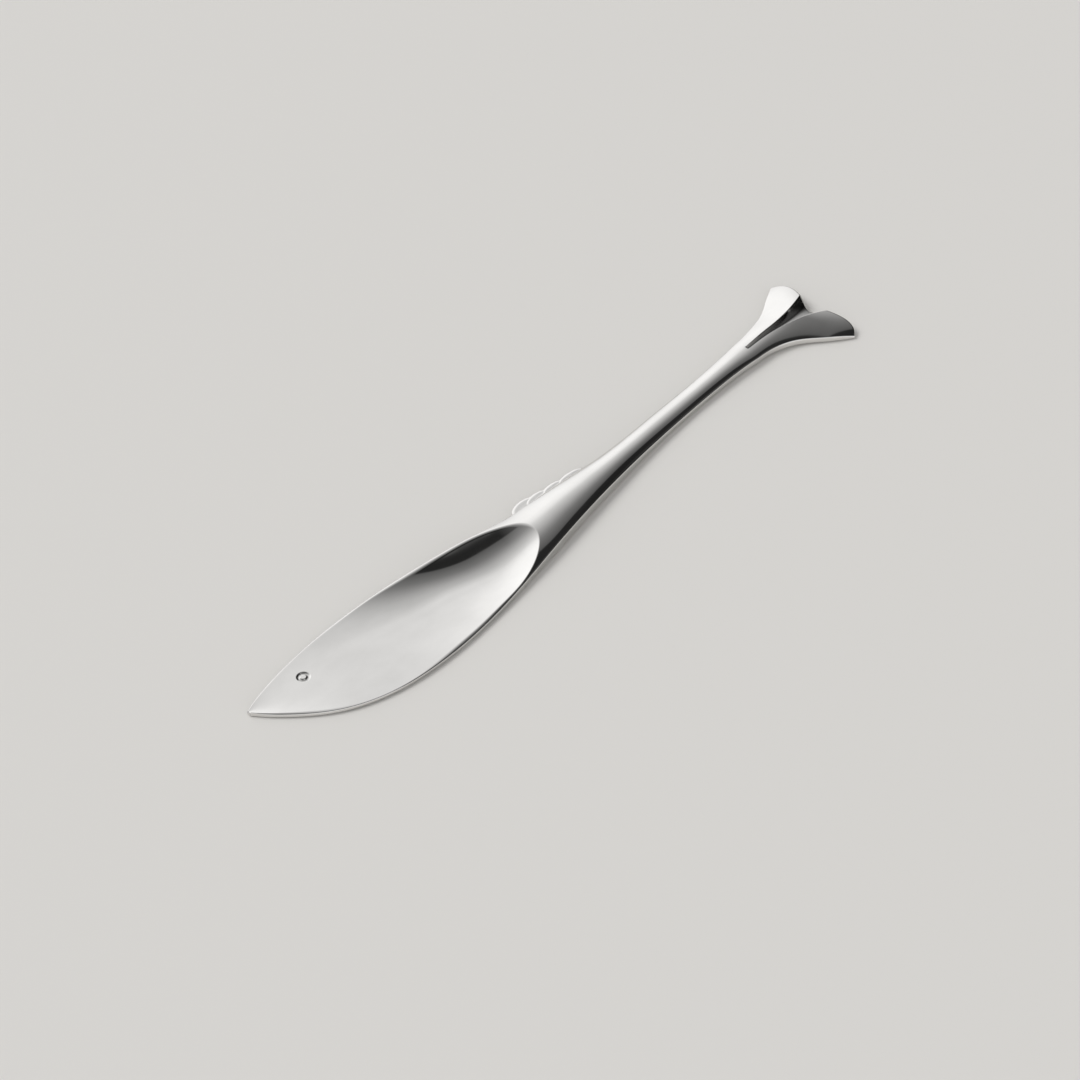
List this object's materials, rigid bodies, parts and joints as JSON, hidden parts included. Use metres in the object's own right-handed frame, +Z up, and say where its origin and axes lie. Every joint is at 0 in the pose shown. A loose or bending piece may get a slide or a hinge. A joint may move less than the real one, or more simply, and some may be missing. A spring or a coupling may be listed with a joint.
{
  "type": "butter spreader",
  "caption": "Polished steel butter spreader shaped like a fish: leaf blade with a dish, ring eye, scalloped back fin, domed handle and forked tail.",
  "frame": {"origin": "middle of the footprint, on the surface that the spreader lies on", "axes": "+X from the blade's nose to the tail, +Y from the belly to the back with the fin, +Z up"},
  "size_m": [0.1692, 0.0354, 0.0038],
  "materials": {
    "polished_steel": "mirror-polished stainless steel"
  },
  "bodies": {
    "root": {"blade": "polished_steel", "eye_stud": "polished_steel", "handle": "polished_steel", "dorsal_fin": "polished_steel", "tail": "polished_steel"}
  },
  "joints": []
}
